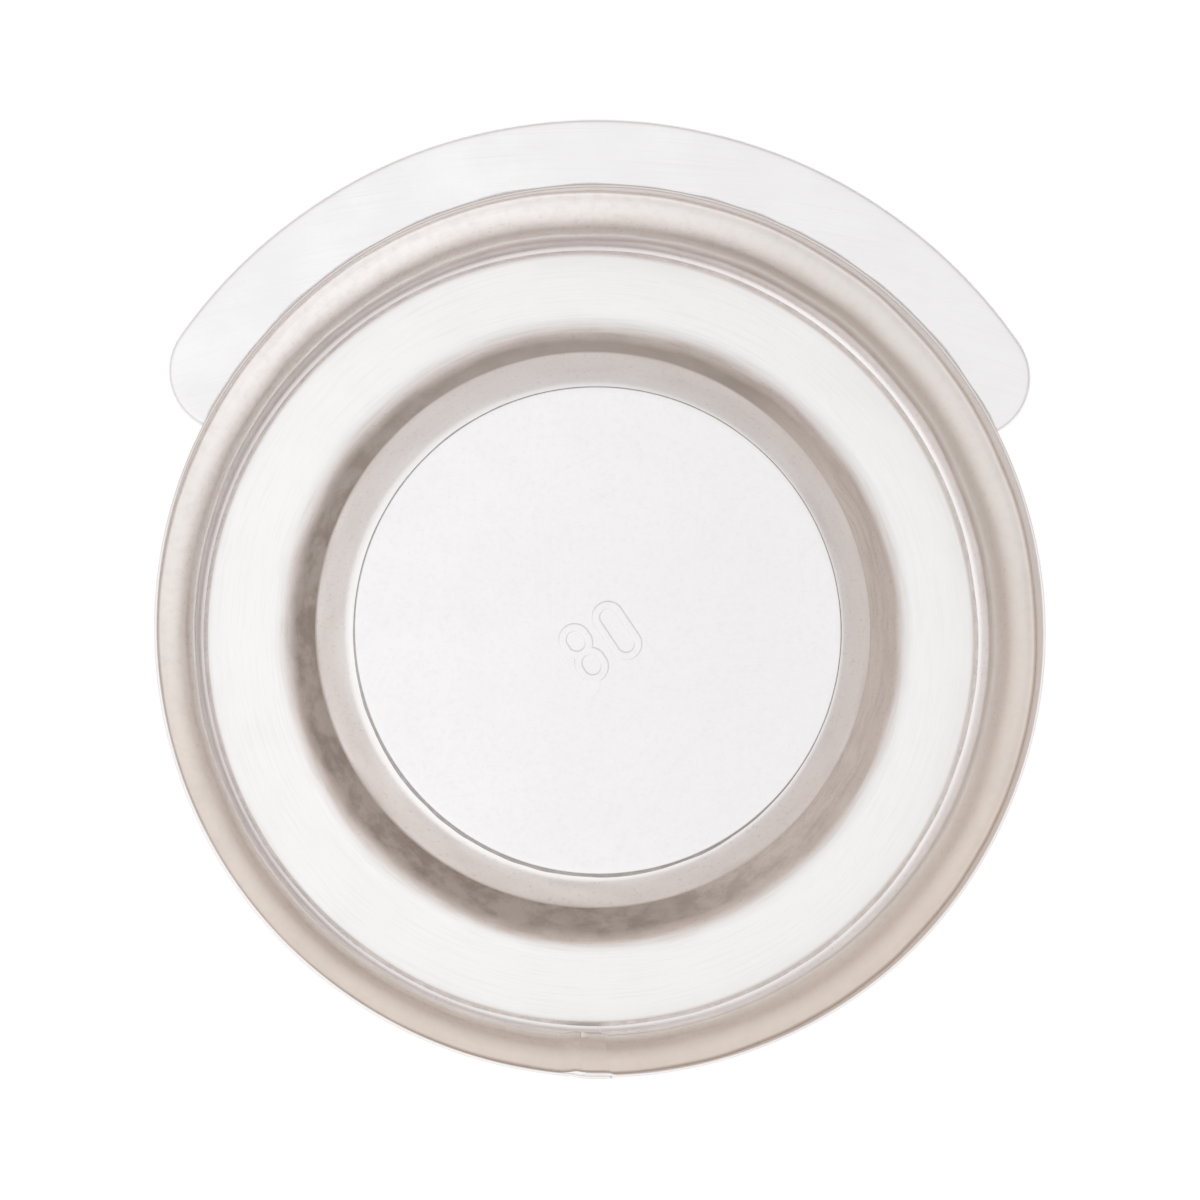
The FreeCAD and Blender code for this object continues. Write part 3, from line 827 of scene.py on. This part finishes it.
def round_streaks(tree, x, y, z, radius, per_turn, fineness):
    """Noise drawn out into streaks that run round the dish, with no join."""
    across = times(tree, calc(tree, "DIVIDE", x, radius), per_turn)
    along = times(tree, calc(tree, "DIVIDE", y, radius), per_turn)
    depth = times(tree, calc(tree, "ADD", radius, z), fineness)
    vector = add(tree, "CombineXYZ", {0: across, 1: along, 2: depth}).outputs[0]
    return noise(tree, vector, 1.0, 3.0, 0.6)


def scratches(tree, vector, cell, length, width, amount):
    """Short straight scratches that each lie in a direction of their own."""
    cells = add(tree, "TexVoronoi", {"Vector": vector, "Scale": 1 / cell, "Randomness": 1.0}, feature="F1")
    chance = add(tree, "SeparateColor", {0: cells.outputs["Color"]}).outputs[0]
    turn = {"Vector": vector, "Angle": times(tree, chance, math.pi), "Axis": (0, 0, 1)}
    along = add(tree, "VectorRotate", turn, rotation_type="AXIS_ANGLE").outputs[0]
    stretch = (1 / length, 1 / width, 0.0)
    drawn = add(tree, "VectorMath", {0: along, 1: stretch}, operation="MULTIPLY").outputs[0]
    line = noise(tree, drawn, 1.0, 1.0, 0.4)
    return fit(tree, line, 1.0 - amount, 1.0 - amount * 0.55)


def start_material(name):
    """A new material, its node tree and its Principled node."""
    material = bpy.data.materials.new(name)
    material.use_nodes = True
    tree = material.node_tree
    return material, tree, tree.nodes["Principled BSDF"]


def finish_tin(tree, shader, colour, roughness, height, relief, anisotropy=0.0):
    """Sets up the metal from its colour, roughness and height, whose relief is in millimetres."""
    bump = add(tree, "Bump", {"Height": height, "Distance": relief * MM, "Strength": 1.0}).outputs[0]
    shader.inputs["Metallic"].default_value = 1.0
    shader.inputs["Anisotropic"].default_value = anisotropy
    tree.links.new(colour, shader.inputs["Base Color"])
    tree.links.new(roughness, shader.inputs["Roughness"])
    tree.links.new(bump, shader.inputs["Normal"])
    if anisotropy:
        tangent = add(tree, "Tangent", direction_type="RADIAL", axis="Z").outputs[0]
        tree.links.new(tangent, shader.inputs["Tangent"])


def shade_and_tarnish_in_corners(tree, colour, dark, reach, strength):
    """Darkens a colour where the surface is closed in: painted shade, with the dirt and tarnishing that
    gather there.
    """
    open_share = add(tree, "AmbientOcclusion", {"Distance": reach * MM}, samples=6).outputs["AO"]
    closed = fit(tree, open_share, 0.75, 0.15, 0.0, strength)
    return paint(tree, colour, [(closed, dark)])


RIGHT = math.radians(-8)             # where the riser's painted light is strongest
RIGHT_BACK = math.radians(15)        # where the wall's painted shade is darkest
LEFT_BACK = math.radians(150)        # where the wall's painted light is brightest, and the foot ring's painted shade greyest
LEFT_FRONT = math.radians(-145)      # where the riser's dark blotches, dirt over painted shade, are heaviest


def spun_parts(tree, z, radius, level):
    """Masks of the parts that take their own tints, from height, radius and how level the surface is.

    Each range runs from where its mask starts to where the mask is full.
    """
    # the band between the pan's floor and the step, whose steep faces take painted shade
    mid_height = times(tree, fit(tree, z, 1.8, 4.2), fit(tree, z, 14.0, 12.6))
    riser = times(tree, fit(tree, radius, 56.0, 51.0), fit(tree, z, 12.5, 11.0))
    steep = times(tree, fit(tree, level, 0.82, 0.5), calc(tree, "MAXIMUM", mid_height, riser))
    wall_heights = times(tree, fit(tree, z, 1.2, 3.4), fit(tree, z, 14.5, 13.2))
    wall = times(tree, wall_heights, fit(tree, radius, 65.0, 68.0))
    return {
        "slope": fit(tree, level, 0.97, 0.82),
        "rim": fit(tree, z, 14.0, 15.5),
        "rim_edge": fit(tree, z, 20.15, 20.3),
        "step": times(tree, fit(tree, radius, 68.5, 70.5), fit(tree, z, 14.5, 13.8)),
        "wall": wall,
        "foot_of_wall": times(tree, wall, fit(tree, z, 10.0, 4.0), mid_height),
        "foot_ring": times(tree, fit(tree, radius, 65.6, 66.2), fit(tree, z, 3.0, 1.4)),
        "riser": riser,
        "riser_face": times(tree, riser, steep),
        "steep": steep,
    }


def spun_tin(name):
    """Tinplate worked on a lathe and by hand.

    It has streaks round the dish and cloudy patches. Level faces are painted bright, slopes duller and
    pinker, and steep faces browner, most of all round the riser: painted light and shade that follow each
    face's tilt.
    """
    material, tree, shader = start_material(name)
    point, x, y, z = object_space(tree)
    radius = distance_from_axis(tree, x, y)
    streak = round_streaks(tree, x, y, z, radius, 5.0, 3.2)
    fine_streak = round_streaks(tree, x, y, z, radius, 16.0, 9.0)
    upright_streak = round_streaks(tree, x, y, z, radius, 45.0, 0.5)
    cloud = noise(tree, point, 0.07, 4.0, 0.6)
    blotch = noise(tree, point, 0.16, 5.0, 0.65)
    speckle = noise(tree, point, 1.5, 4.0, 0.7)
    normal = add(tree, "NewGeometry").outputs["Normal"]
    level = calc(tree, "ABSOLUTE", add(tree, "SeparateXYZ", {0: normal}).outputs[2])
    part = spun_parts(tree, z, radius, level)

    def side(direction, *limits):
        near = towards(tree, x, y, radius, direction)
        return fit(tree, near, *limits) if limits else near

    def share(amount, *masks):
        return times(tree, *masks, amount)

    right = side(RIGHT, 0.75, 1.0)
    left = calc(tree, "SUBTRACT", 1.0, right)
    pinkness = calc(tree, "SUBTRACT", 0.85, share(0.4, part["rim"]))
    spotted = times(tree, part["slope"], fit(tree, z, 16.5, 18.0, 0.32, 0.08))
    colour = mix(tree, fit(tree, cloud, 0.35, 0.7), (0.905, 0.892, 0.889, 1), (0.94, 0.933, 0.932, 1))
    colour = paint(tree, colour, [
        # painted light brighter towards the left, and painted shade: pinker on the slopes and browner on
        # steep faces
        (fit(tree, x, 10.0, -60.0, 0, 0.6), (0.985, 0.98, 0.978)),
        (times(tree, part["slope"], pinkness), (0.90, 0.845, 0.825)),
        (share(0.8, part["steep"]), (0.82, 0.76, 0.715)),
        # the riser: painted shade on the left, painted light on the right, and dark blotches at the front
        # left, dirt laid over painted shade
        (share(0.6, part["riser_face"], left), (0.47, 0.43, 0.405)),
        (share(0.45, part["riser_face"], right), (0.99, 0.96, 0.94)),
        (
            share(0.6, fit(tree, blotch, 0.40, 0.62), side(LEFT_FRONT), part["riser_face"]),
            (0.30, 0.235, 0.195),
        ),
        # the wall: painted shade at the right, dark blotches at its foot (blotchy tone over painted shade
        # of the steep lower wall), painted light at the left and warm at the front
        (share(0.5, side(RIGHT_BACK, 0.2, 0.9), part["wall"]), (0.60, 0.54, 0.50)),
        (times(tree, part["foot_of_wall"], fit(tree, blotch, 0.3, 0.6, 0.35, 0.75)), (0.50, 0.42, 0.35)),
        (share(0.55, side(LEFT_BACK, 0.4, 1.0), part["wall"]), (0.99, 0.95, 0.93)),
        (share(0.55, side(FRONT, 0.3, 1.0), part["wall"]), (0.93, 0.85, 0.77)),
        # the step's brown front, a painted shade, the rim's dark edge at the back, and hand marks up the
        # wall
        (share(0.65, side(FRONT), part["step"]), (0.68, 0.57, 0.49)),
        (times(tree, part["rim_edge"], fit(tree, y, 0.0, 40.0, 0, 0.65)), (0.60, 0.54, 0.51)),
        (times(tree, fit(tree, upright_streak, 0.42, 0.72, 0, 0.16), part["wall"]), (0.60, 0.53, 0.49)),
        # the pale ring at the wall's foot, a painted highlight, with painted shade making it greyer at the
        # back left
        (share(0.8, part["foot_ring"]), (0.97, 0.945, 0.94)),
        (share(0.7, part["foot_ring"], side(LEFT_BACK, 0.35, 0.9)), (0.73, 0.68, 0.675)),
        # streaks everywhere, again on the riser, and specks on the slopes
        (fit(tree, streak, 0.45, 0.75, 0, 0.18), (0.74, 0.69, 0.66)),
        (times(tree, fit(tree, streak, 0.38, 0.70, 0, 0.2), part["riser"]), (0.50, 0.45, 0.41)),
        (times(tree, fit(tree, speckle, 0.54, 0.72), spotted), (0.55, 0.47, 0.41)),
    ])
    colour = shade_and_tarnish_in_corners(tree, colour, (0.50, 0.43, 0.40), 1.2, 0.4)
    roughness = calc(tree, "ADD", fit(tree, cloud, 0.3, 0.75, 0.32, 0.42), share(0.08, fine_streak))
    height = calc(tree, "ADD", share(0.5, streak), share(0.3, fine_streak))
    height = calc(tree, "SUBTRACT", height, share(0.4, scratches(tree, point, 5.0, 5.0, 0.09, 0.36)))
    height = calc(tree, "ADD", height, share(0.3, speckle))
    finish_tin(tree, shader, colour, roughness, height, 0.008, 0.25)
    return material


def plate_tin():
    """The counting plate's tin: bright, with fine scratches every way from years of spatulas."""
    material, tree, shader = start_material("plate_tin")
    point, x, _, _ = object_space(tree)
    cloud = noise(tree, point, 0.06, 4.0, 0.6)
    mottle = noise(tree, point, 0.5, 3.0, 0.6)
    speckle = noise(tree, point, 1.3, 4.0, 0.7)
    long_lines = scratches(tree, point, 14.0, 16.0, 0.10, 0.40)
    middling_lines = scratches(tree, point, 8.0, 9.0, 0.07, 0.40)
    short_lines = scratches(tree, point, 4.0, 5.0, 0.06, 0.38)
    scratch = calc(tree, "ADD", calc(tree, "ADD", long_lines, middling_lines), short_lines)
    colour = mix(tree, fit(tree, cloud, 0.35, 0.7), (0.91, 0.895, 0.903, 1), (0.95, 0.936, 0.945, 1))
    colour = paint(tree, colour, [
        # painted shade: darker towards the right
        (fit(tree, x, -40.0, 35.0, 0, 0.42), (0.82, 0.803, 0.805)),
        (fit(tree, mottle, 0.5, 0.8, 0, 0.12), (0.76, 0.74, 0.735)),
        (fit(tree, speckle, 0.48, 0.72, 0, 0.16), (0.70, 0.68, 0.685)),
        (times(tree, scratch, 0.18), (0.70, 0.685, 0.68)),
    ])
    colour = shade_and_tarnish_in_corners(tree, colour, (0.46, 0.42, 0.39), 0.8, 0.5)
    roughness = fit(tree, cloud, 0.3, 0.75, 0.33, 0.42)
    finish_tin(tree, shader, colour, roughness, times(tree, scratch, -0.7), 0.006)
    return material


def brushed_tin():
    """The ledge's tin, brushed from end to end in gentle curves."""
    material, tree, shader = start_material("brushed_tin")
    point, x, y, _ = object_space(tree)
    cloud = noise(tree, point, 0.07, 4.0, 0.6)
    across = calc(tree, "ADD", y, times(tree, x, x, 0.0022))
    drawn = {0: times(tree, x, 0.035), 1: times(tree, across, 5.5), 2: 0.0}
    grain = noise(tree, add(tree, "CombineXYZ", drawn).outputs[0], 1.0, 4.0, 0.65)
    scratch = scratches(tree, point, 9.0, 10.0, 0.08, 0.38)
    colour = mix(tree, fit(tree, cloud, 0.35, 0.7), (0.90, 0.891, 0.895, 1), (0.945, 0.938, 0.943, 1))
    colour = paint(tree, colour, [
        # painted shade: darker towards the right
        (fit(tree, x, -30.0, 55.0, 0, 0.55), (0.83, 0.818, 0.82)),
        (fit(tree, grain, 0.5, 0.75, 0, 0.30), (0.74, 0.72, 0.70)),
    ])
    colour = shade_and_tarnish_in_corners(tree, colour, (0.5, 0.46, 0.43), 1.0, 0.45)
    roughness = fit(tree, grain, 0.3, 0.7, 0.30, 0.42)
    height = calc(tree, "SUBTRACT", grain, times(tree, scratch, 0.4))
    finish_tin(tree, shader, colour, roughness, height, 0.008)
    return material


def soft_solder(name, flux_and_shadow=0.0, corner_darkening=0.35):
    """Soft solder: dull grey, lumpy, with bright spots where it was wiped.

    The second argument is how dark old fluxing residue and painted shadow along the plate's edge make it,
    most of all where the run is widest.
    """
    material, tree, shader = start_material(name)
    point, x, y, _ = object_space(tree)
    radius = add(tree, "VectorMath", {0: point}, operation="LENGTH").outputs["Value"]
    lumpy = noise(tree, point, 0.35, 4.0, 0.6)
    spots = noise(tree, point, 1.4, 2.0, 0.5)
    flux_and_shadow_side = fit(tree, towards(tree, x, y, radius, WIDE_SIDE), 0.72, 1.0, 0.75, 1.0)
    colour = mix(tree, fit(tree, lumpy, 0.35, 0.65), (0.84, 0.81, 0.805, 1), (0.93, 0.91, 0.91, 1))
    colour = paint(tree, colour, [
        (fit(tree, spots, 0.6, 0.72, 0, 0.6), (0.94, 0.935, 0.93)),
        # dark old fluxing residue together with painted shadow along the plate's edge, darkest on the wide
        # side
        (times(tree, flux_and_shadow_side, flux_and_shadow), (0.17, 0.14, 0.125)),
    ])
    # painted shade and tarnishing in closed-in corners
    colour = shade_and_tarnish_in_corners(tree, colour, (0.55, 0.50, 0.48), 0.5, corner_darkening)
    roughness = fit(tree, spots, 0.4, 0.7, 0.50, 0.32)
    finish_tin(tree, shader, colour, roughness, lumpy, 0.03)
    return material


# ---------------------------------------------------------------- scene
FLOOR_HALF_WIDTH = 3.0       # metres
FLOOR_GAP = 0.00002          # metres below the tray's foot, so that the two faces don't coincide


def floor():
    """A plain pale floor that the tray stands on."""
    side = FLOOR_HALF_WIDTH
    mesh = bpy.data.meshes.new("floor")
    corners = [(-side, -side, 0), (side, -side, 0), (side, side, 0), (-side, side, 0)]
    mesh.from_pydata(corners, [], [(0, 1, 2, 3)])
    made = bpy.data.objects.new("floor", mesh)
    made.location.z = -FLOOR_GAP
    bpy.context.scene.collection.objects.link(made)
    material, _, shader = start_material("floor_paper")
    shader.inputs["Base Color"].default_value = (0.4, 0.4, 0.4, 1)
    shader.inputs["Roughness"].default_value = 0.9
    shader.inputs["Specular IOR Level"].default_value = 0.2
    shader.inputs["Emission Color"].default_value = (1, 1, 1, 1)
    shader.inputs["Emission Strength"].default_value = 0.72
    made.data.materials.append(material)


SKY = [                      # sine of the height above the horizon, and the light's colour there
    (0.0, (0.32, 0.29, 0.275)),
    (0.22, (0.62, 0.59, 0.575)),
    (0.45, (0.88, 0.86, 0.85)),
    (0.77, (0.97, 0.96, 0.955)),
    (0.94, (1.02, 1.02, 1.02)),
    (1.0, (1.07, 1.07, 1.075)),
]
DIMMER_RIGHT = 0.06
DIMMER_BACK = 0.14


def studio_light():
    """Soft light all round: white overhead, dimmer and warmer low down, and dimmer from the back right.

    The camera itself sees a plain white backdrop.
    """
    world = bpy.data.worlds.new("studio")
    bpy.context.scene.world = world
    world.use_nodes = True
    tree = world.node_tree
    tree.nodes.clear()
    direction = add(tree, "TexCoord").outputs["Generated"]
    x, y, z = add(tree, "SeparateXYZ", {0: direction}).outputs
    ramp = add(tree, "ValToRGB", {0: z})
    elements = ramp.color_ramp.elements
    while len(elements) < len(SKY):
        elements.new(0.5)
    for element, (position, colour) in zip(elements, SKY):
        element.position = position
        element.color = (*colour, 1)
    slant = calc(tree, "ADD", times(tree, x, -DIMMER_RIGHT), times(tree, y, -DIMMER_BACK))
    strength = calc(tree, "ADD", slant, 1.0)
    studio = add(tree, "Background", {"Color": ramp.outputs[0], "Strength": strength})
    backdrop = add(tree, "Background", {"Color": (1.0, 1.0, 1.0, 1), "Strength": 1.0})
    seen = add(tree, "LightPath").outputs["Is Camera Ray"]
    both = add(tree, "MixShader", {0: seen, 1: studio.outputs[0], 2: backdrop.outputs[0]})
    add(tree, "OutputWorld", {"Surface": both.outputs[0]})


CAMERA_DISTANCE = 1200.0
SENSOR_WIDTH = 36.0
VIEW_WIDTH = 201.0           # how much of the rim's plane the camera sees from side to side
VIEW_CENTRE = (-0.39, 4.82)  # the point of the rim's plane that it looks at
LEAN = (-0.0828, -0.0719)    # how far the camera moves sideways for each unit of height


def camera():
    """The camera above the tray, leaning slightly to the front left."""
    data = bpy.data.cameras.new("camera")
    data.sensor_width = SENSOR_WIDTH
    data.lens = SENSOR_WIDTH * CAMERA_DISTANCE / VIEW_WIDTH
    data.clip_start = 0.01
    made = bpy.data.objects.new("camera", data)
    bpy.context.scene.collection.objects.link(made)
    back = Vector((*LEAN, 1.0)).normalized()
    right = Vector((0, 1, 0)).cross(back).normalized()
    up = back.cross(right)
    target = Vector((*VIEW_CENTRE, RIM_Z)) * MM
    turn = Matrix((right, up, back)).transposed().to_4x4()
    made.matrix_world = Matrix.Translation(target + back * CAMERA_DISTANCE * MM) @ turn
    bpy.context.scene.camera = made
    bpy.context.scene.view_settings.view_transform = "Standard"


spun = spun_tin("spun_tin")
solder = soft_solder("soft_solder")
bright_solder = soft_solder("bright_solder", corner_darkening=0.1)
outer_wall(spun)
trough_pan(spun)
centre_shoulder(spun)
counting_plate(plate_tin())
ledge_plate(brushed_tin())
ledge_solder(
    "ledge_top_bead", "ledge_top_solder", LEDGE_Z, side=1, size=0.27, variation=0.6,
    largest=RIM_Z - LEDGE_Z - 0.12, seed=91, material=bright_solder,
)
ledge_solder(
    "ledge_under_bead", "ledge_under_solder", LEDGE_Z - SHEET, side=-1, size=1.0, variation=0.25,
    largest=1.3, seed=95, material=solder,
)
floor_seam_solder(bright_solder)
shoulder_solder(solder)
plate_solder(soft_solder("flux_and_shadow_solder", flux_and_shadow=0.62))
wall_seam_solder(spun_tin("wiped_solder"))
floor()
studio_light()
camera()
